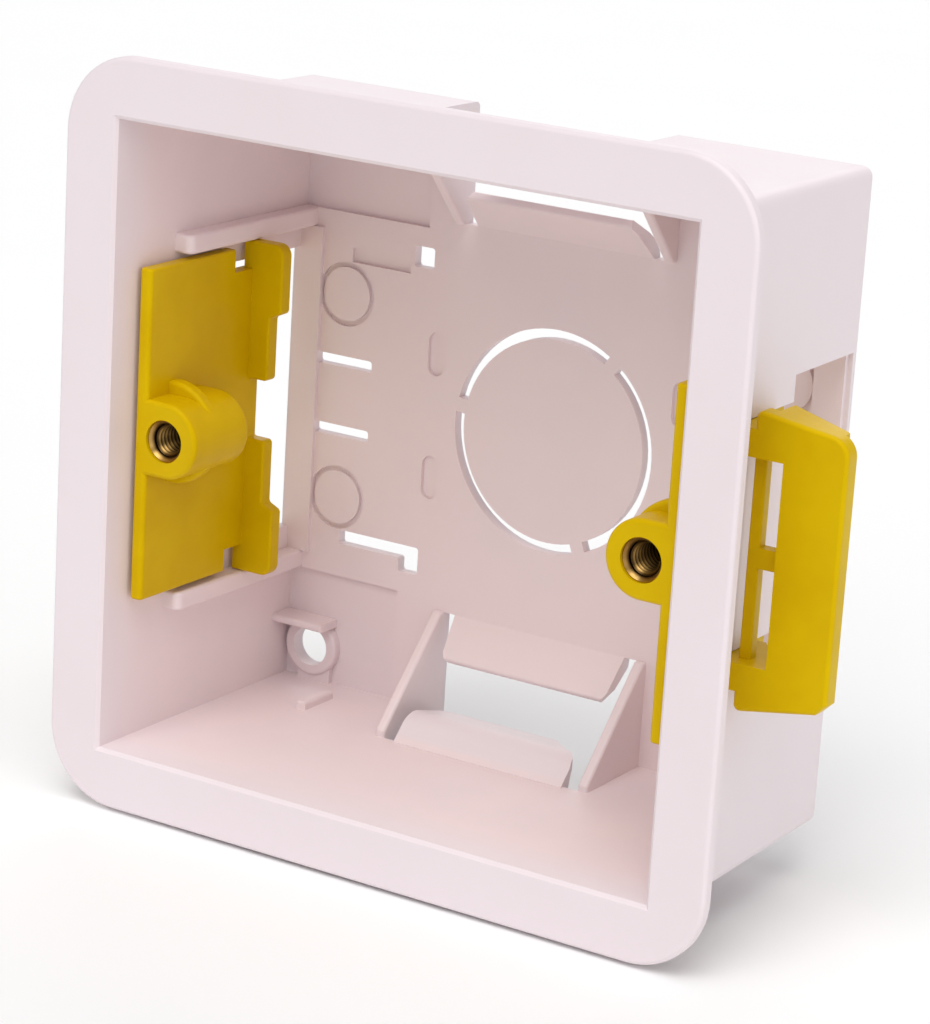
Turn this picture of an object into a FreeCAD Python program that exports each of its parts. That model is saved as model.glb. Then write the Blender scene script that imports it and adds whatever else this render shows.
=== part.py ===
import FreeCAD, Part
import math
import os

# Single-gang dry-lining back box: one white moulding with a front flange, two
# yellow clamp lugs that slide front to back in its side walls, and a threaded
# brass insert pressed into each lug for the faceplate screws.
# Millimetres. Origin: centre of the front opening, in the flange's front plane.
# +X right, +Y into the wall, +Z up.
os.makedirs("parts", exist_ok=True)
V = FreeCAD.Vector

# box shell
fixing_centres = 60.3
screw_to_wall = 4.5
flange_rim = 6.65
flange_thick = 1.3
flange_corner = 8.5
edge_round = 0.5
back_round = 0.8
lip_depth = 0.42
lip_flare = 0.4
depth = 35.7
back_thick = 1.3
wall = 1.45
side_draft = 0.45
floor_draft = 0.35
side_wall_back = 1.15
floor_wall_back = 1.42
body_corner = 1.2
inner_round = 0.35

# rails that guide the lugs, and what lies between them on the back wall
rail_clear = 19.0
rail_width = 2.1
rail_height = 1.9
rail_start = 10.7
rail_nose = 0.9
strip_width = 2.9
strip_height = 0.5
corner_thin = 0.6
corner_clear = 0.02
corner_thin_wide = 17.4
corner_thin_narrow = 19.0

# clamp lugs
slide_gap = 0.07
plate_thick = 1.6
plate_relief = 0.6
plate_nose = 0.55
lug_length = 20.1
rear_leaf = 1.8
leaf_tip = 5.65
leaf_mid = 4.15
leaf_step_z = 10.6
leaf_step_run = 0.7
leaf_notch_z = 3.4
leaf_corner = 1.3
leaf_step_round = 0.5
lug_round = 0.3
relief_run = 3.2
relief_z = 15.8
relief_root = 1.1
right_front = 2.0
left_front = 4.1

# screw boss and insert
boss_r = 4.2
boss_length = 9.8
collar_r = 5.7
collar_shift = 1.9
collar_start = 3.8
collar_thick = 1.3
boss_round = 0.5
insert_r = 2.35
insert_depth = 0.3
insert_length = 8.9
screw_major = 3.5
thread_tap_r = 1.45
screw_play = 0.25
thread_chamfer = 0.45
thread_lead = 0.1

# clamp wing outside the wall
wing_face = 7.1
wing_thick = 1.9
wing_gap = 1.7
wing_reach = 12.0
wing_root_over = 1.95
wing_root_under = 2.2
wing_tip_over = 0.55
wing_round = 2.2
wing_chamfer = 1.2
wing_heel = 0.7
wing_edge = 0.45
arm_inset = 5.5
arm_width = 2.9
arm_back = 15.2
arm_root = 0.4
arm_heel = 0.8
brace_tip_inset = 1.4
brace_tip_depth = 0.9
brace_root = 3.3
brace_depth = 3.2
pocket_width = 5.1
bar_gap = 1.0
bar_width = 1.35
bar_thick = 1.35
bar_sink = 0.1
bridge_half = 1.05

# window in each side wall, and the slots that lead the arms forward
window_length = 13.2
window_inset = 2.6
slot_start = 7.9
slot_clear = 0.1

# cable entries
entry_half = 12.6
entry_run = 11.0
entry_rise = 12.0
gusset_thick = 1.25
gusset_over = 0.1
gusset_round = 0.4
tongue_side_gap = 1.7
tongue_thick = 1.2
tongue_end_gap = 1.0
tongue_hump = 2.7
tongue_crest = 3.3
tongue_ramp = 1.7
tongue_shoulder = 0.45
tongue_round = 2.5
tongue_corner = [(0, 1.0), (0.4, 2.3), (1.2, 3.4), (2.6, 4.6), (4.4, 6.6), (6.0, 8.6)]
tongue_far_corner = [(1.2, 1.0), (0.3, -0.4), (0, -1.2)]
tongue_tip_inset = 7.6
flap_side_gap = 1.5
flap_length = 5.36
lower_flap_bend = 36.7
upper_flap_bend = 46.5
flap_thick = 1.1
flap_root = 1.5
flap_taper = 0.4
flap_corner = 1.4

# back wall
knockout_r = 12.6
knockout_slit = 1.15
knockout_bridge = 1.6
knockout_angles = (170.6, 55, -70)
groove_depth = 0.5
circle_side = 6.25
circle_z = 11.85
circle_r = 3.7
circle_line = 0.6
obround_x = 15.6
obround_z = 7.1
obround_r = 1.05
obround_run = 1.45
side_slot_inset = 2.5
side_slot_length = 7.6
side_slot_z = 4.05
side_slot_width = 1.3
key_x = 16.5
key_width = 2.6
key_length = 10.9
key_z = 15.6
key_slit = 1.65
key_leg = 3.2
key_square_z = 16.5
key_square = 2.4
slot_round = 0.35

# screw point in two opposite rear corners
corner_boss_x = 3.9
corner_boss_z = 4.1
corner_boss_r = 3.5
corner_boss_root = 0.4
corner_stem_left = 1.8
corner_stem_right = 2.6
corner_bore_r = 2.3
corner_shelf_z = 7.7
corner_shelf_reach = 2.8
corner_shelf_thick = 0.9
corner_shelf_width = 7.2
floor_rib_x = 25.0
floor_rib_start = 1.5
floor_rib_half = 0.6
floor_rib_height = 0.9
floor_rib_length = 5.5

# how deep a joined form runs into its neighbour, how far a cut runs past the face that it
# opens, what counts as the same place, and as an edge along a form
bite = 0.6
past = 1.0
same = 0.01
long_run = 1.0

# places worked out from the sizes above
opening = fixing_centres + 2 * screw_to_wall
half_open = opening / 2
half_flange = half_open + flange_rim
outer_front = half_open + wall
back_inner = depth - back_thick
side_in = half_open - side_draft
floor_in = half_open - floor_draft
side_out = side_in + side_wall_back
floor_out = floor_in + floor_wall_back
screw_x = fixing_centres / 2
lug_outer = side_in - slide_gap
lug_inner = lug_outer - plate_thick
arm_high = rail_clear - arm_inset
arm_low = arm_high - arm_width
wing_root = outer_front + wing_gap
wing_tip = outer_front + wing_reach
entry_start = back_inner - entry_run
entry_z = floor_in - entry_rise


def box(x0, x1, y0, y1, z0, z1):
    return Part.makeBox(x1 - x0, y1 - y0, z1 - z0, V(x0, y0, z0))


def side_box(side, x0, x1, y0, y1, z0, z1):
    # a box on the left (-1) or right (1), from x0 and x1 measured off the middle
    return box(min(side * x0, side * x1), max(side * x0, side * x1), y0, y1, z0, z1)


def flat_faced(loops):
    faces = [Part.Face(Part.makePolygon(loop + [loop[0]])) for loop in loops]
    solid = Part.Solid(Part.makeShell(faces))
    if solid.Volume < 0:
        solid.reverse()
    return solid


def frustum(hx0, hz0, y0, hx1, hz1, y1):
    a = [V(-hx0, y0, -hz0), V(hx0, y0, -hz0), V(hx0, y0, hz0), V(-hx0, y0, hz0)]
    b = [V(-hx1, y1, -hz1), V(hx1, y1, -hz1), V(hx1, y1, hz1), V(-hx1, y1, hz1)]
    sides = [[a[i], a[(i + 1) % 4], b[(i + 1) % 4], b[i]] for i in range(4)]
    return flat_faced([a, b] + sides)


def extruded(points, run):
    face = Part.Face(Part.makePolygon(points + [points[0]]))
    return face.extrude(run)


def prism_x(points_yz, x0, x1):
    return extruded([V(x0, y, z) for y, z in points_yz], V(x1 - x0, 0, 0))


def prism_y(points_xz, y0, y1):
    return extruded([V(x, y0, z) for x, z in points_xz], V(0, y1 - y0, 0))


def prism_z(points_xy, z0, z1):
    return extruded([V(x, y, z0) for x, y in points_xy], V(0, 0, z1 - z0))


def cyl_y(x, z, r, y0, y1):
    return Part.makeCylinder(r, y1 - y0, V(x, y0, z), V(0, 1, 0))


def turned(shape):
    # half a turn about the depth axis: the box is the same either way up
    copy = shape.copy()
    copy.rotate(V(0, 0, 0), V(0, 1, 0), 180)
    return copy


def both_ways(shapes):
    return shapes + [turned(s) for s in shapes]


def softened(shape, radius, chosen):
    # rounds those edges of a form whose bounding boxes are chosen
    return shape.makeFillet(radius, [e for e in shape.Edges if chosen(e.BoundBox)])


def make_shell():
    # square flange plate with large round corners and a softened front edge
    flange = box(-half_flange, half_flange, 0, flange_thick, -half_flange, half_flange)
    flange = softened(flange, flange_corner, lambda b: abs(b.YLength - flange_thick) < same)
    flange = softened(flange, edge_round, lambda b: b.YMax < same)
    # tapered tub behind it
    tub = frustum(outer_front, outer_front, flange_thick / 3, side_out, floor_out, depth)
    tub = softened(tub, body_corner, lambda b: b.YLength > depth / 2)
    tub = softened(tub, back_round, lambda b: b.YMin > depth - same)
    # hollow, open at the front, with a softened lip
    mouth_x = half_open + side_draft * past / back_inner
    mouth_z = half_open + floor_draft * past / back_inner
    hollow = frustum(mouth_x, mouth_z, -past, side_in, floor_in, back_inner)
    lip_out = half_open + lip_flare * (1 + past / lip_depth)
    lip = frustum(lip_out, lip_out, -past, half_open, half_open, lip_depth)
    return flange.fuse(tub).cut([hollow, lip])


def make_rail(side, end):
    # one guide rail; side is left or right, end is below (-1) or above (1)
    z0 = min(end * rail_clear, end * (rail_clear + rail_width))
    inner = side_in - rail_height
    rail = side_box(side, inner, side_in + bite, rail_start, back_inner + bite, z0, z0 + rail_width)
    nose = lambda b: b.YMax < rail_start + same and abs(b.XMin - side * inner) < same
    rail = softened(rail, rail_nose, lambda b: nose(b) and b.ZLength > long_run)
    # the two long edges that stand into the box, round the nose as well
    root = side * (side_in + bite)
    long_edge = lambda b: b.ZLength < same and abs(b.XMin - root) > same and abs(b.XMax - root) > same
    return softened(rail, inner_round, long_edge)


def corner_cut(side, end):
    # the back wall is thinner in its four corners
    reach = corner_thin_wide if side * end < 0 else corner_thin_narrow
    z0 = rail_clear + rail_width
    z0, z1 = sorted([end * z0, end * (floor_in - corner_clear)])
    x1 = side_in - corner_clear
    return side_box(side, reach, x1, back_inner - past, back_inner + corner_thin, z0, z1)


def window_cut(side):
    # window in the side wall, with a slot running forward for each lug arm
    start = back_inner - window_length
    half = rail_clear - window_inset
    x0 = side_in - past
    x1 = outer_front + past
    window = side_box(side, x0, x1, start, back_inner, -half, half)
    low = arm_low - slot_clear
    high = arm_high + slot_clear
    slots = [side_box(side, x0, x1, slot_start, start + bite, low, high)]
    slots.append(side_box(side, x0, x1, slot_start, start + bite, -high, -low))
    return window.fuse(slots)


def entry_parts(flap_bend):
    # bottom cable entry: tongue in the floor, flap bent in from the back wall, gusset each side
    floor = -floor_in
    under = floor - tongue_thick
    end = back_inner - tongue_end_gap
    crest = entry_start + tongue_crest
    ramp = crest - tongue_ramp
    top = [(entry_start - bite, floor), (ramp, floor + tongue_hump - tongue_shoulder)]
    top = top + [(crest, floor + tongue_hump), (end, floor + tongue_hump / 3)]
    low = [(end, under + tongue_hump / 3), (crest, under + tongue_hump)]
    low = low + [(ramp + tongue_thick / 3, under + tongue_hump - tongue_shoulder)]
    low = low + [(entry_start + bite, under), (entry_start - bite, under)]
    half = entry_half - tongue_side_gap
    tongue = prism_x(top + low, -half, half)
    ridge = lambda b: b.XLength > long_run and b.ZMin > floor + tongue_hump / 2
    tongue = softened(tongue, tongue_round, ridge)
    above = lambda b: under + tongue_hump / 2 < b.ZMin < under + tongue_hump + same
    raised = lambda b: above(b) and entry_start + bite + same < b.YMin
    bent = lambda b: b.XLength > long_run and raised(b) and b.YMax < crest + same
    tongue = softened(tongue, tongue_round - tongue_thick, bent)
    # its right side curves in towards the free end, its left side only at the corner
    plan = [(-half, entry_start - 2 * bite), (half, entry_start - 2 * bite)]
    plan = plan + [(half - inset, entry_start + run) for inset, run in tongue_corner]
    plan = plan + [(half - tongue_tip_inset, end + past)]
    plan = plan + [(-half + inset, end + run) for inset, run in tongue_far_corner]
    tongue = tongue.common(prism_z(plan, under - past, floor + tongue_hump + past))

    hinge = -entry_z
    lean = math.radians(flap_bend)
    tip_y = back_inner - flap_length * math.sin(lean)
    tip_z = hinge - flap_length * math.cos(lean)
    rear_y = tip_y + flap_thick * math.cos(lean)
    rear_z = tip_z - flap_thick * math.sin(lean)
    face = [(back_inner, hinge + bite), (back_inner, hinge), (tip_y, tip_z)]
    rear = [(rear_y, rear_z), (depth, hinge - flap_root), (depth, hinge + bite)]
    root = entry_half - flap_side_gap
    flap = prism_x(face + rear, -root, root)
    flap = softened(flap, inner_round, lambda b: b.XLength > long_run and b.YMax < rear_y + same)
    tip = root - flap_taper
    outline = [(root, hinge + past), (root, hinge), (tip, tip_z + flap_corner / 2)]
    outline = outline + [(tip - flap_corner, rear_z - past)]
    mirrored = [(-x, z) for x, z in reversed(outline)]
    flap = flap.common(prism_y(outline + mirrored, tip_y - past, depth + past))

    foot = floor - bite
    profile = [(entry_start, foot), (back_inner + bite, foot), (back_inner + bite, hinge + gusset_over)]
    profile = profile + [(back_inner - bite, hinge + gusset_over), (entry_start, floor + bite)]
    gussets = []
    for x0 in (-entry_half - gusset_thick, entry_half):
        gusset = prism_x(profile, x0, x0 + gusset_thick)
        corner = lambda b: b.XLength > long_run and b.YMax < back_inner and b.ZMin > foot + same
        gusset = softened(gusset, gusset_round, corner)
        edge = lambda b: b.XLength < same and b.ZMax > foot + same and b.YMin < back_inner
        gussets.append(softened(gusset, gusset_round, edge))
    return [tongue, flap] + gussets


def knockout_cut():
    # slit round the knock-out disc, which three bridges hold
    y0 = back_inner - past
    y1 = depth + past
    inner_r = knockout_r - knockout_slit
    slit = cyl_y(0, 0, knockout_r, y0, y1).cut(cyl_y(0, 0, inner_r, y0, y1))
    half = knockout_bridge / 2
    for angle in knockout_angles:
        bridge = box(inner_r - past, knockout_r + past, y0, y1, -half, half)
        bridge.rotate(V(0, 0, 0), V(0, 1, 0), -angle)
        slit = slit.cut(bridge)
    return slit


def back_marks():
    # blind rings and obrounds, and narrow through slots, the same at all four corners
    y0 = back_inner - past
    y1 = back_inner + groove_depth
    marks = []
    for side in (-1, 1):
        for end in (-1, 1):
            x = side * (side_in - circle_side)
            z = end * circle_z
            ring = cyl_y(x, z, circle_r, y0, y1).cut(cyl_y(x, z, circle_r - circle_line, y0, y1))
            marks.append(ring)
            x = side * obround_x
            z = end * obround_z
            ends = [cyl_y(x, z + s * obround_run, obround_r, y0, y1) for s in (-1, 1)]
            middle = box(x - obround_r, x + obround_r, y0, y1, z - obround_run, z + obround_run)
            marks.append(middle.fuse(ends).removeSplitter())
            outer = side_in - side_slot_inset
            z0 = end * side_slot_z - side_slot_width / 2
            z1 = z0 + side_slot_width
            slot = side_box(side, outer - side_slot_length, outer, y0, depth + past, z0, z1)
            slot = softened(slot, slot_round, lambda b: b.YLength > long_run)
            marks.append(slot)
    return marks


def key_cuts():
    # bottom left: through slot with a short leg; top left: square hole and blind groove
    y0 = back_inner - past
    y1 = depth + past
    x1 = -key_x
    x0 = x1 - key_length
    leg_x = x1 - key_width
    slot = box(x0, x1, y0, y1, -key_z - key_slit, -key_z)
    leg = box(leg_x, x1, y0, y1, -key_z - key_leg, -key_z - key_slit / 2)
    square = box(leg_x, x1, y0, y1, key_square_z, key_square_z + key_square)
    groove = box(x0, leg_x - edge_round, y0, back_inner + groove_depth, key_z, key_z + key_slit)
    slot = slot.fuse(leg).removeSplitter()
    through = [softened(hole, slot_round, lambda b: b.YLength > long_run) for hole in (slot, square)]
    return through + [groove]


def corner_point():
    # screw boss in the bottom left rear corner, a shelf over it and its stem to the floor
    x = -(side_in - corner_boss_x)
    z = -(floor_in - corner_boss_z)
    y0 = back_inner - strip_height
    y1 = depth - corner_boss_root
    boss = cyl_y(x, z, corner_boss_r, y0, y1)
    boss = softened(boss, inner_round, lambda b: b.YMax < y0 + same)
    shelf_z = -floor_in + corner_shelf_z - corner_shelf_thick
    shelf_x = -side_in - corner_boss_root
    shelf_y = back_inner - corner_shelf_reach
    shelf = box(shelf_x, shelf_x + corner_shelf_width, shelf_y, y1, shelf_z, shelf_z + corner_shelf_thick)
    shelf = softened(shelf, inner_round, lambda b: b.YMax < shelf_y + same)
    foot = -floor_in - bite
    stem = box(x - corner_stem_left, x + corner_stem_right, y0 + inner_round, y1, foot, z)
    rib_y = entry_start + floor_rib_start
    rib_x0 = -floor_rib_x - floor_rib_half
    rib_x1 = -floor_rib_x + floor_rib_half
    top = -floor_in + floor_rib_height
    rib = box(rib_x0, rib_x1, rib_y, rib_y + floor_rib_length, foot, top)
    rib = softened(rib, inner_round, lambda b: b.ZMin > top - same)
    bore = cyl_y(x, z, corner_bore_r, shelf_y - past, depth + past)
    return [boss, shelf, stem, rib], bore


def make_body():
    body = make_shell()
    rails = [make_rail(side, end) for side in (-1, 1) for end in (-1, 1)]
    body = body.fuse(rails)
    body = body.cut([corner_cut(side, end) for side in (-1, 1) for end in (-1, 1)])
    for side in (-1, 1):
        body = body.cut(window_cut(side))
    entry = box(-entry_half, entry_half, entry_start, depth + past, -outer_front - past, -entry_z)
    body = body.cut(both_ways([entry]))
    body = body.fuse(entry_parts(lower_flap_bend))
    body = body.fuse([turned(form) for form in entry_parts(upper_flap_bend)])
    body = body.cut(knockout_cut())
    body = body.cut(back_marks())
    body = body.cut(both_ways(key_cuts()))
    # low strip beside each window, between the rails
    y0 = back_inner - strip_height
    for side in (-1, 1):
        inner = side_in - strip_width
        strip = side_box(side, inner, side_in + bite, y0, back_inner + bite, -rail_clear, rail_clear)
        body = body.fuse(strip)
    adds, bore = corner_point()
    body = body.fuse(both_ways(adds)).cut(both_ways([bore]))
    return body.removeSplitter().Solids[0]


def make_boss(front):
    # screw boss, round on its free side and flat-sided where it runs into the plate
    end = front + boss_length
    root = lug_inner + bite
    boss = cyl_y(screw_x, 0, boss_r, front, end)
    boss = boss.cut(box(screw_x, screw_x + boss_r + past, front, end, -boss_r, boss_r))
    boss = boss.fuse(box(screw_x, root, front, end, -boss_r, boss_r)).removeSplitter()
    boss = softened(boss, boss_round, lambda b: b.YLength < same and b.XMin < root - same)
    # thin collar round it, set over towards the plate
    y0 = front + collar_start
    collar = cyl_y(screw_x + collar_shift, 0, collar_r, y0, y0 + collar_thick)
    collar = softened(collar, boss_round, lambda b: b.YMax < y0 + same)
    return boss.fuse(collar.common(box(0, root, y0, end, -collar_r, collar_r)))


def make_leaf(front):
    # rear leaf turned inward, stepped, and notched down to the plate for the screw
    high = rail_clear - slide_gap
    tip = lug_outer - leaf_tip
    mid = lug_outer - leaf_mid
    step = leaf_step_z
    half = [(lug_outer, high), (tip, high), (tip, step + leaf_step_run), (mid, step)]
    half = half + [(mid, leaf_notch_z), (lug_inner, leaf_notch_z)]
    profile = half + [(x, -z) for x, z in reversed(half)]
    end = front + lug_length
    leaf = prism_y(profile, end - rear_leaf, end)
    corner = lambda b: b.YLength > long_run and b.XMax < tip + same and abs(b.ZMin) > high - same
    leaf = softened(leaf, leaf_corner, corner)
    stepped = lambda b: b.YLength > long_run and b.XMax < lug_outer - same and abs(b.ZMin) < high - same
    leaf = softened(leaf, leaf_step_round, stepped)
    return softened(leaf, lug_round, lambda b: b.YLength < same and b.XMin < lug_outer - same)


def wing_outline():
    # front view of the clamp wing, from its inner edge out to the tip
    root = arm_high + wing_root_over
    root_low = arm_high + wing_root_under
    tip = arm_high + wing_tip_over
    low = [(lug_outer, -arm_high), (wing_root, -arm_high), (wing_root, -root_low)]
    low = low + [(wing_tip - wing_chamfer, -tip), (wing_tip, -tip + wing_chamfer)]
    high = [(wing_tip, tip), (wing_root, root), (wing_root, arm_high), (lug_outer, arm_high)]
    return low + high


def wing_form(y0, y1):
    # wing outline given a depth, with its upper tip and both heels rounded
    form = prism_y(wing_outline(), y0, y1)
    upper = lambda b: b.YLength > long_run and b.XMin > wing_tip - same and b.ZMin > 0
    form = softened(form, wing_round, upper)
    heel = lambda b: b.YLength > long_run and b.XMax < wing_root + same and abs(b.ZMin) > arm_high + same
    return softened(form, wing_heel, heel)


def make_wing(front):
    y0 = front + wing_face
    y1 = y0 + wing_thick
    wing = wing_form(y0, y1)
    wing = softened(wing, wing_edge, lambda b: b.YMax < y0 + same and b.XMax > wing_root + same)
    pocket_end = outer_front + pocket_width
    pocket = box(lug_outer - past, pocket_end, y0 - past, y1 + past, -arm_low, arm_low)
    wing = wing.cut(pocket)
    # bar behind the pocket, held at both ends and by a short bridge
    bar_x = outer_front + bar_gap
    bar_z = arm_low + bite
    bar = box(bar_x, bar_x + bar_width, y1 - bar_sink, y1 + bar_thick, -bar_z, bar_z)
    bar = softened(bar, lug_round, lambda b: b.ZLength > long_run)
    bridge_x = bar_x + bar_width / 2
    bridge = box(bridge_x, pocket_end + bite, y1 - bar_sink, y1 + bar_thick, -bridge_half, bridge_half)
    # braces behind the wing, cut back to its outline, and the arms through the wall
    back = front + arm_back
    root_x = outer_front + brace_root
    tip_x = wing_tip - brace_tip_inset
    slope = [(root_x, y1 - bite), (tip_x, y1 - bite), (tip_x, y1 + brace_tip_depth)]
    slope = slope + [(root_x, y1 + brace_depth)]
    reach = arm_high + wing_root_under + past
    brace = prism_z(slope, -reach, reach)
    brace = brace.cut(box(root_x - past, tip_x + past, y0, back, -arm_low, arm_low))
    brace = brace.common(wing_form(y0, back))
    arm_x = lug_inner + arm_root
    plan = [(arm_x, y0), (wing_root + past, y0), (tip_x, y1), (tip_x, y1 + brace_tip_depth)]
    plan = plan + [(root_x, y1 + brace_depth), (outer_front + arm_heel, back), (arm_x, back)]
    arms = [prism_z(plan, arm_low, arm_high), prism_z(plan, -arm_high, -arm_low)]
    tips = box(lug_inner, wing_root, y0 - past, back + past, -arm_high, arm_high)
    tips = tips.fuse(wing_form(y0 - past, back + past))
    return wing.fuse([bar, bridge, brace] + [a.common(tips) for a in arms])


def make_lug(front):
    z = rail_clear - plate_relief
    end = front + lug_length
    leaf_y = end - rear_leaf
    # inner plate that rides between the rails
    plate = box(lug_inner, lug_outer, front, end, -z, z)
    plate = softened(plate, plate_nose, lambda b: b.YMax < front + same and b.ZLength > long_run)
    plate = softened(plate, lug_round, lambda b: b.ZLength < same and b.YMin < end - same)
    lug = make_wing(front).fuse([plate, make_leaf(front), make_boss(front)])
    # relief at both ends of the fold, through the plate and the root of the leaf
    for end_z in (-1, 1):
        z0, z1 = sorted([end_z * relief_z, end_z * (rail_clear + past)])
        x1 = lug_outer + past
        lug = lug.cut(box(lug_inner - past, x1, leaf_y - relief_run, leaf_y, z0, z1))
        lug = lug.cut(box(lug_inner + relief_root, x1, leaf_y - bite, end + past, z0, z1))
    # pocket for the insert, open in front, with a clear hole on behind for the screw
    pocket = cyl_y(screw_x, 0, insert_r, front - past, front + insert_depth + insert_length)
    hole = cyl_y(screw_x, 0, screw_major / 2 + screw_play, front, end + past)
    return lug.cut([pocket, hole]).removeSplitter().Solids[0]


def make_insert(front):
    y0 = front + insert_depth
    y1 = y0 + insert_length
    core = cyl_y(screw_x, 0, insert_r, y0, y1)
    core = core.cut(cyl_y(screw_x, 0, thread_tap_r, y0 - past, y1 + past))
    mouth_r = screw_major / 2 + thread_lead
    mouth = Part.makeCone(mouth_r, thread_tap_r, thread_chamfer, V(screw_x, y0, 0), V(0, 1, 0))
    return core.cut(mouth)


make_body().exportStep("parts/box_body.step")
make_lug(right_front).exportStep("parts/right_lug.step")
turned(make_lug(left_front)).exportStep("parts/left_lug.step")
make_insert(right_front).exportStep("parts/right_insert.step")
turned(make_insert(left_front)).exportStep("parts/left_insert.step")
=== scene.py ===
import math

import bpy
from mathutils import Matrix, Vector


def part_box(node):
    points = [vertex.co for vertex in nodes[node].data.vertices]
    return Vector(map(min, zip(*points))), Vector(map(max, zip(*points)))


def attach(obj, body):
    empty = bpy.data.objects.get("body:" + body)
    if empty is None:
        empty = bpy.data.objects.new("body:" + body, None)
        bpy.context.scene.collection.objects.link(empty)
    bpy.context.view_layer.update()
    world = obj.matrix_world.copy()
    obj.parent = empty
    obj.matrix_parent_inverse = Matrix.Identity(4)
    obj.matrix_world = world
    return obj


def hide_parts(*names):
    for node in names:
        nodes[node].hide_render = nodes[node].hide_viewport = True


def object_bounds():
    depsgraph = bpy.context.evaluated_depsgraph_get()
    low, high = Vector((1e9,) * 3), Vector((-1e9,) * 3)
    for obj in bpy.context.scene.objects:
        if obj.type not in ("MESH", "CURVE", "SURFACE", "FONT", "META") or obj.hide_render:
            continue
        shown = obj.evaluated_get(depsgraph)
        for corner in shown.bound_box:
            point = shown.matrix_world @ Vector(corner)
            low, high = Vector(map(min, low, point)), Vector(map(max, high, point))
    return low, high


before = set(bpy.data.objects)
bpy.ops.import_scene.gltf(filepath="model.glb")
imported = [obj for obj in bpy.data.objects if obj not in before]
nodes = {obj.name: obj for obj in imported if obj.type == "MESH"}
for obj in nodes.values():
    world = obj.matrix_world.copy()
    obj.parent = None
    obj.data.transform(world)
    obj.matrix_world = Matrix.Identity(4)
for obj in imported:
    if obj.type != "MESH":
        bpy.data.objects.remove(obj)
cad_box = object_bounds()
bpy.ops.object.select_all(action="DESELECT")


# The box is one injection moulding in a white plastic with a faint pink cast. Its skin
# is satin from the spark-eroded mould and a little cloudy where the melt flowed. Inside,
# where the walls only see each other, a painted warm shade tints it pinker, as light
# bounced between the walls looks there. Its edges are rounded in the solid.
MM = 0.001
OPEN_HALF = 34.9 * MM
LIP_DEPTH = 8 * MM
GROOVE_BOTTOM = 34.95 * MM
ENTRY_HALF = 12.5 * MM
TONGUE_ROOT = 23.4 * MM
TONGUE_TOP = 31.2 * MM
SOFT_EDGE = 0.3 * MM
WHITE = (0.850, 0.757, 0.788, 1)
WHITE_CLOUD = (0.825, 0.722, 0.748, 1)
# painted warm shade: the pinker colour of the inside, standing in for light bounced between its walls
WHITE_PAINTED_WARM_SHADE = (0.893, 0.757, 0.765, 1)
CLOUD_SCALE = 46.0
CLOUD_SHARE = 0.55
SATIN = 0.36
SATIN_SPREAD = 0.18
SATIN_SCALE = 170.0
SINK_SCALE = 70.0
SINK_DEPTH = 0.6 * MM
SPARK_SCALE = 5200.0
SPARK_DEPTH = 0.03 * MM


class Maths:
    """Shader maths written as Python: each operator on a wrapped socket adds one Math node."""

    def __init__(self, tree, socket):
        self.tree = tree
        self.socket = socket

    def feed(self, place):
        self.tree.links.new(self.socket, place)

    def _join(self, operation, *values):
        return add_node(self.tree, "ShaderNodeMath", dict(enumerate(values)), {"operation": operation})

    def __add__(self, other):
        return self._join("ADD", self, other)

    __radd__ = __add__

    def __sub__(self, other):
        return self._join("SUBTRACT", self, other)

    def __rsub__(self, other):
        return self._join("SUBTRACT", other, self)

    def __mul__(self, other):
        return self._join("MULTIPLY", self, other)

    __rmul__ = __mul__

    def __abs__(self):
        return self._join("ABSOLUTE", self)

    def larger(self, other):
        return self._join("MAXIMUM", self, other)


def add_node(tree, kind, sockets=None, settings=None, output=0):
    # any node: its settings first, then the values or links of its sockets
    node = tree.nodes.new(kind)
    for name, value in (settings or {}).items():
        setattr(node, name, value)
    for name, value in (sockets or {}).items():
        if isinstance(value, Maths):
            value.feed(node.inputs[name])
        else:
            node.inputs[name].default_value = value
    return Maths(tree, node.outputs[output])


class Finish:
    """One material while it is mixed."""

    def __init__(self, name, constants):
        self.material = bpy.data.materials.new(name)
        self.material.use_nodes = True
        self.tree = self.material.node_tree
        self.shader = self.tree.nodes["Principled BSDF"]
        for socket, value in constants.items():
            self.shader.inputs[socket].default_value = value
        self.place = add_node(self.tree, "ShaderNodeTexCoord", output="Object")

    def axes(self):
        # the object's own X, Y and Z as three numbers
        split = add_node(self.tree, "ShaderNodeSeparateXYZ", {"Vector": self.place})
        return [Maths(self.tree, part) for part in split.socket.node.outputs]

    def stretched(self, scale):
        # the object's own coordinates, scaled along each axis
        sockets = {"Vector": self.place, "Scale": scale}
        return add_node(self.tree, "ShaderNodeMapping", sockets)

    def noise(self, scale, detail=2.0, roughness=0.6, place=None):
        sockets = {"Vector": place or self.place, "Scale": scale, "Detail": detail, "Roughness": roughness}
        return add_node(self.tree, "ShaderNodeTexNoise", sockets)

    def ramp(self, value, low, high):
        # 0 below low, 1 above high
        sockets = {"Value": value, "From Min": low, "From Max": high}
        settings = {"interpolation_type": "SMOOTHSTEP"}
        return add_node(self.tree, "ShaderNodeMapRange", sockets, settings, output="Result")

    def blend(self, amount, first, second):
        # mixes two colours by amount; a Mix node's colours are its sockets 6 and 7, and output 2
        sockets = {0: amount, 6: first, 7: second}
        return add_node(self.tree, "ShaderNodeMix", sockets, {"data_type": "RGBA"}, output=2)

    def relief(self, *layers):
        # bump from coarse to fine; a layer is a height, its depth in metres and its strength
        under = {}
        for height, depth, strength in layers:
            sockets = {"Height": height, "Distance": depth, "Strength": strength, **under}
            under = {"Normal": add_node(self.tree, "ShaderNodeBump", sockets)}
        self.set("Normal", under["Normal"])

    def set(self, socket, value):
        value.feed(self.shader.inputs[socket])


def dress(piece, finish):
    # gives a CAD node or a new piece one finish all over
    piece.data.materials.clear()
    piece.data.materials.append(finish.material)


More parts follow.
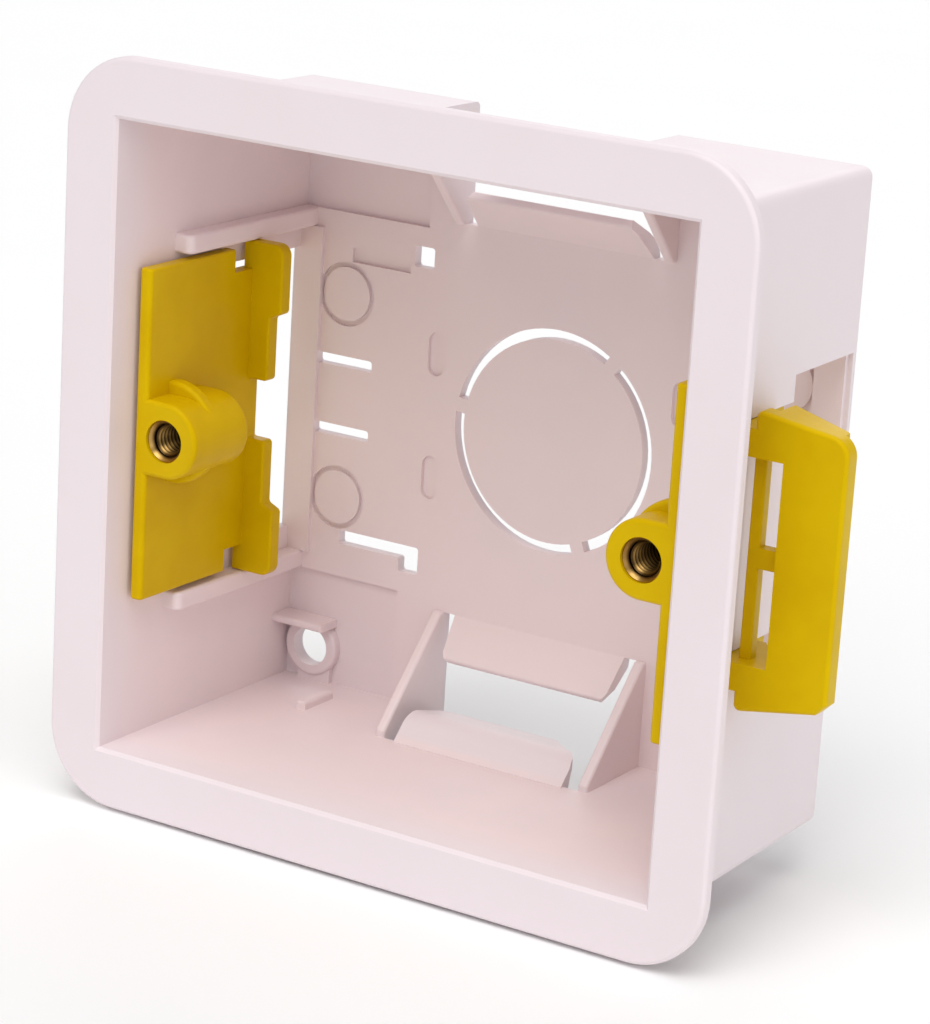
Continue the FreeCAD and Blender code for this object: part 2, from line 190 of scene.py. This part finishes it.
white = Finish("white_moulding", {"IOR": 1.49})
across, along, upright = white.axes()
from_middle = abs(across).larger(abs(upright))
between_walls = 1 - white.ramp(from_middle, OPEN_HALF - SOFT_EDGE, OPEN_HALF)
behind_lip = white.ramp(along, 0.0, LIP_DEPTH)
in_depth = behind_lip - white.ramp(along, GROOVE_BOTTOM, GROOVE_BOTTOM + SOFT_EDGE)
tongue_width = 1 - white.ramp(abs(across), ENTRY_HALF - SOFT_EDGE, ENTRY_HALF)
tongue_height = white.ramp(abs(upright), TONGUE_TOP - SOFT_EDGE, TONGUE_TOP)
tongue_depth = white.ramp(along, TONGUE_ROOT - SOFT_EDGE, TONGUE_ROOT + SOFT_EDGE)
tongue = tongue_width * tongue_height * tongue_depth
# the painted warm shade covers the inside behind the lip, but not the tongue
inside = between_walls * in_depth * (1 - tongue)
skin_and_painted_warm_shade = white.blend(inside, WHITE, WHITE_PAINTED_WARM_SHADE)
cloud = white.ramp(white.noise(CLOUD_SCALE, detail=3.0), 0.35, 0.75)
white.set("Base Color", white.blend(cloud * CLOUD_SHARE, skin_and_painted_warm_shade, WHITE_CLOUD))
white.set("Roughness", white.noise(SATIN_SCALE, detail=3.0) * SATIN_SPREAD + SATIN)
white.relief((white.noise(SINK_SCALE, roughness=0.5), SINK_DEPTH, 0.10),
             (white.noise(SPARK_SCALE), SPARK_DEPTH, 0.35))
dress(nodes["box_body"], white)


# The two clamp lugs are one small moulding in a strong yellow nylon, the second turned
# half a turn from the first. The yellow is a little uneven from the flow of the melt,
# and the skin is a touch glossier than the box, with fine rubs along the way they slide.
YELLOW = (0.690, 0.460, 0.0008, 1)
YELLOW_DEEP = (0.635, 0.405, 0.0005, 1)
YELLOW_GLOSS = (1.0, 0.80, 0.12, 1)
FLOW_SCALE = 95.0
GLOSS = 0.27
GLOSS_SPREAD = 0.14
GLOSS_SCALE = 320.0
RUB_SHARE = 0.10
RUB_SCALE = 2600.0
RUB_DEPTH = 0.015 * MM
RUB_STRETCH = (1.0, 0.06, 1.0)
DRAW_SCALE = 110.0
DRAW_DEPTH = 0.5 * MM
GRAIN_SCALE = 5600.0
GRAIN_DEPTH = 0.02 * MM
yellow = Finish("yellow_lug", {"IOR": 1.50, "Specular IOR Level": 0.30, "Specular Tint": YELLOW_GLOSS})
flow = yellow.ramp(yellow.noise(FLOW_SCALE, detail=3.0), 0.3, 0.7)
yellow.set("Base Color", yellow.blend(flow, YELLOW, YELLOW_DEEP))
rubs = yellow.noise(RUB_SCALE, place=yellow.stretched(RUB_STRETCH))
yellow.set("Roughness", yellow.noise(GLOSS_SCALE) * GLOSS_SPREAD + rubs * RUB_SHARE + GLOSS)
yellow.relief((yellow.noise(DRAW_SCALE, roughness=0.5), DRAW_DEPTH, 0.12),
              (rubs, RUB_DEPTH, 0.3),
              (yellow.noise(GRAIN_SCALE), GRAIN_DEPTH, 0.3))
for name in ("left_lug", "right_lug"):
    dress(nodes[name], yellow)


# A turned brass insert is pressed into each lug's boss: a bush with a lead-in at both
# ends and an M3.5 thread right through for the faceplate screw. The brass is bright on
# its end faces; in the bore it is darkened by oil and by painted shade, a little on the
# thread's crests and fully in the grooves.
FIT = 0.01 * MM
ROUND_SIDES = 48
END_BEVEL = 0.12 * MM
LEAD_IN = 0.50 * MM
LEAD_RADIUS = 2.12 * MM
THREAD_PITCH = 0.6 * MM
THREAD_MAJOR = 1.76 * MM
THREAD_HALF = 0.285 * MM
THREAD_STEPS = 32
SQUARE_ON = 0.9
SMOOTH_BELOW = math.radians(32)
BRASS = (0.62, 0.40, 0.13, 1)
BRASS_WORN = (0.40, 0.235, 0.07, 1)
# dark brass for the oil and painted shade in the bore
BRASS_OIL_AND_PAINTED_SHADE = (0.085, 0.048, 0.017, 1)
BRASS_GLOSS = 0.24
CREST_OIL_AND_PAINTED_SHADE = 0.30
STAIN_SCALE = 700.0
STAIN_SPREAD = 0.20
TURNING_SCALE = 4200.0
TURNING_DEPTH = 0.01 * MM
# squared distances from the screw's axis in mm2: crest to groove, and bore to end face
GROOVE_REACH = (2.2, 2.8)
BORE_REACH = (3.3, 4.3)
low, high = (Vector(corner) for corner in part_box("left_insert"))
middle = (low + high) / 2
half_length = (high.y - low.y) / 2
bush_radius = (high.x - low.x) / 2 - FIT
brass = Finish("brass_insert", {"Metallic": 1.0})
across, _, upright = brass.axes()
off_centre = (abs(across) - abs(middle.x)) * (1 / MM)
off_level = upright * (1 / MM)
reach = off_centre * off_centre + off_level * off_level
# oil and painted shade in the bore: partly on the crests, fully in the grooves, none on the end faces
groove_oil_and_painted_shade = brass.ramp(reach, *GROOVE_REACH) * (1 - CREST_OIL_AND_PAINTED_SHADE) + CREST_OIL_AND_PAINTED_SHADE
oil_and_painted_shade = groove_oil_and_painted_shade * (1 - brass.ramp(reach, *BORE_REACH))
stain = brass.noise(STAIN_SCALE, detail=3.0)
worn = brass.blend(stain, BRASS, BRASS_WORN)
brass.set("Base Color", brass.blend(oil_and_painted_shade, worn, BRASS_OIL_AND_PAINTED_SHADE))
brass.set("Roughness", stain * STAIN_SPREAD + BRASS_GLOSS)
brass.relief((brass.noise(TURNING_SCALE, detail=1.0, roughness=0.5), TURNING_DEPTH, 0.3))


def pick_faces(piece, wanted):
    # in edit mode, leaves just those faces selected that are wanted
    bpy.ops.mesh.select_mode(type="FACE")
    bpy.ops.mesh.select_all(action="DESELECT")
    bpy.ops.object.mode_set(mode="OBJECT")
    for face in piece.data.polygons:
        face.select = wanted(face)
    bpy.ops.object.mode_set(mode="EDIT")


bpy.ops.mesh.primitive_cylinder_add(vertices=ROUND_SIDES, radius=bush_radius, depth=2 * half_length,
                                    location=middle, rotation=(math.radians(90), 0, 0))
bush = bpy.context.object
bpy.ops.object.transform_apply(location=True, rotation=True, scale=True)
bpy.ops.object.mode_set(mode="EDIT")
pick_faces(bush, lambda face: abs(face.normal.y) > SQUARE_ON)
bpy.ops.mesh.bevel(offset=END_BEVEL, segments=2)
for end, inward in ((low.y, 1), (high.y, -1)):
    # the lead-in: a cone from the end face down to the bore
    pick_faces(bush, lambda face: face.normal.y * inward < -SQUARE_ON)
    bpy.ops.mesh.inset(thickness=bush_radius - END_BEVEL - LEAD_RADIUS)
    bpy.ops.mesh.extrude_region_move(TRANSFORM_OT_translate={"value": (0, inward * LEAD_IN, 0)})
    narrow = THREAD_MAJOR / LEAD_RADIUS
    bpy.ops.transform.resize(value=(narrow, 1, narrow), center_override=(middle.x, end, middle.z))


def closes_bore(face):
    # the small end of either lead-in, where the bore comes through
    off_middle = abs(face.center.y - middle.y)
    return abs(face.normal.y) > SQUARE_ON and off_middle < half_length - LEAD_IN / 2


pick_faces(bush, closes_bore)
bpy.ops.mesh.bridge_edge_loops()
bpy.ops.object.mode_set(mode="OBJECT")

# the thread: a pointed section half sunk in the bore's wall, wound along it and capped
start = low.y + LEAD_IN
first_turn = (middle.x + THREAD_MAJOR, start + THREAD_PITCH / 2, middle.z)
bpy.ops.mesh.primitive_circle_add(vertices=4, radius=THREAD_HALF, fill_type="NOTHING", location=first_turn)
thread = bpy.context.object
bpy.context.scene.cursor.location = (middle.x, start, middle.z)
bpy.ops.object.origin_set(type="ORIGIN_CURSOR")
wind = thread.modifiers.new("wound", "SCREW")
wind.axis = "Y"
wind.steps = wind.render_steps = THREAD_STEPS
wind.screw_offset = THREAD_PITCH
wind.iterations = int((2 * half_length - 2 * LEAD_IN) / THREAD_PITCH) - 1
bpy.ops.object.modifier_apply(modifier=wind.name)
bpy.ops.object.mode_set(mode="EDIT")
bpy.ops.mesh.select_mode(type="EDGE")
bpy.ops.mesh.select_all(action="DESELECT")
bpy.ops.mesh.select_non_manifold()
bpy.ops.mesh.fill()
bpy.ops.mesh.select_all(action="SELECT")
bpy.ops.mesh.normals_make_consistent(inside=False)
bpy.ops.object.mode_set(mode="OBJECT")
bpy.ops.object.transform_apply(location=True, rotation=True, scale=True)
bush.select_set(True)
bpy.context.view_layer.objects.active = bush
bpy.ops.object.join()
bpy.context.scene.cursor.location = (0, 0, 0)
bpy.ops.object.origin_set(type="ORIGIN_CURSOR")
bpy.ops.object.shade_smooth_by_angle(angle=SMOOTH_BELOW)
dress(bush, brass)

# the right insert is the left one again, moved into the right lug's boss
bpy.ops.object.duplicate()
twin = bpy.context.object
bpy.ops.transform.translate(value=Vector(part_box("right_insert")[0]) - low)
bpy.ops.object.transform_apply(location=True, rotation=False, scale=False)
for piece, name in ((bush, "left_insert"), (twin, "right_insert")):
    piece.name = piece.data.name = name + "_brass"
    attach(piece, name.replace("insert", "clamp"))
    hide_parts(name)


# The stand for the picture is a plain pale floor under the flange's lower edge and a white
# surround, dimmer as a light than it looks. Four soft lamps shine from above, from the
# front, from the right and from behind; a lamp's place gives only its direction.
FLOOR_SIZE = 6
FLOOR_GAP = 0.4 * MM
FLOOR_WHITE = (0.97, 0.97, 0.97, 1)
FLOOR_SHADE = (0.95, 0.95, 0.95, 1)
FLOOR_MATT = 0.9
FLOOR_SCALE = 30.0
bpy.ops.object.select_all(action="DESELECT")
bpy.ops.mesh.primitive_plane_add(size=FLOOR_SIZE, location=(0, 0, cad_box[0][2] - FLOOR_GAP))
floor = bpy.context.object
floor.name = "floor"
paint = Finish("floor_paint", {"Roughness": FLOOR_MATT})
uneven = paint.noise(FLOOR_SCALE, detail=3.0, roughness=0.5)
paint.set("Base Color", paint.blend(uneven, FLOOR_WHITE, FLOOR_SHADE))
dress(floor, paint)

SURROUND_WHITE = (1.0, 1.0, 1.0, 1)
SURROUND_LIGHT = 0.30
surround = bpy.data.worlds.new("surround")
bpy.context.scene.world = surround
surround.use_nodes = True
backdrop = surround.node_tree.nodes["Background"]
backdrop.inputs["Color"].default_value = SURROUND_WHITE
seen = add_node(surround.node_tree, "ShaderNodeLightPath", output="Is Camera Ray")
(seen * (1 - SURROUND_LIGHT) + SURROUND_LIGHT).feed(backdrop.inputs["Strength"])

LAMP_SPREAD = math.radians(45)
LAMPS = {
    "above": ((0.10, -0.30, 1.00), 1.22),
    "front_above": ((0.10, -0.60, 0.65), 0.98),
    "right": ((0.85, -0.15, 0.25), 0.60),
    "behind": ((-0.35, 0.85, 0.50), 0.62),
}
for name, (place, strength) in LAMPS.items():
    bpy.ops.object.light_add(type="SUN", location=place)
    lamp = bpy.context.object
    lamp.name = name
    lamp.data.angle = LAMP_SPREAD
    lamp.data.energy = strength
    lamp.rotation_euler = (-Vector(place)).to_track_quat("-Z", "Y").to_euler()

# The camera stands to the right of the box and a little above it, about 0.37 m away, and
# leans a few degrees, as when the photograph was taken. The frame is higher than it is
# wide, so the sensor's long side lies along its height.
FOCAL_PIXELS = 3650.5
CENTRE_PIXEL = (452.85, 568.42)
FRAME_PIXELS = (930, 1024)
SENSOR_SIDE = 36
NEAREST = 0.01
CAMERA_PLACE = (0.196543, -0.298657, 0.101437)
AZIMUTH = math.radians(32.02)
ELEVATION = math.radians(16.77)
LEAN = math.radians(3.45)
bpy.ops.object.camera_add()
camera = bpy.context.object
camera.name = "camera"
camera.data.sensor_width = SENSOR_SIDE
camera.data.lens = FOCAL_PIXELS * SENSOR_SIDE / FRAME_PIXELS[1]
camera.data.shift_x = (FRAME_PIXELS[0] / 2 - CENTRE_PIXEL[0]) / FRAME_PIXELS[1]
camera.data.shift_y = (CENTRE_PIXEL[1] - FRAME_PIXELS[1] / 2) / FRAME_PIXELS[1]
camera.data.clip_start = NEAREST
level = math.cos(ELEVATION)
look = Vector((-math.sin(AZIMUTH) * level, math.cos(AZIMUTH) * level, -math.sin(ELEVATION)))
turn = look.to_track_quat("-Z", "Y").to_matrix().to_4x4() @ Matrix.Rotation(LEAN, 4, "Z")
camera.matrix_world = Matrix.Translation(CAMERA_PLACE) @ turn
bpy.context.scene.camera = camera
bpy.context.scene.view_settings.view_transform = "Standard"
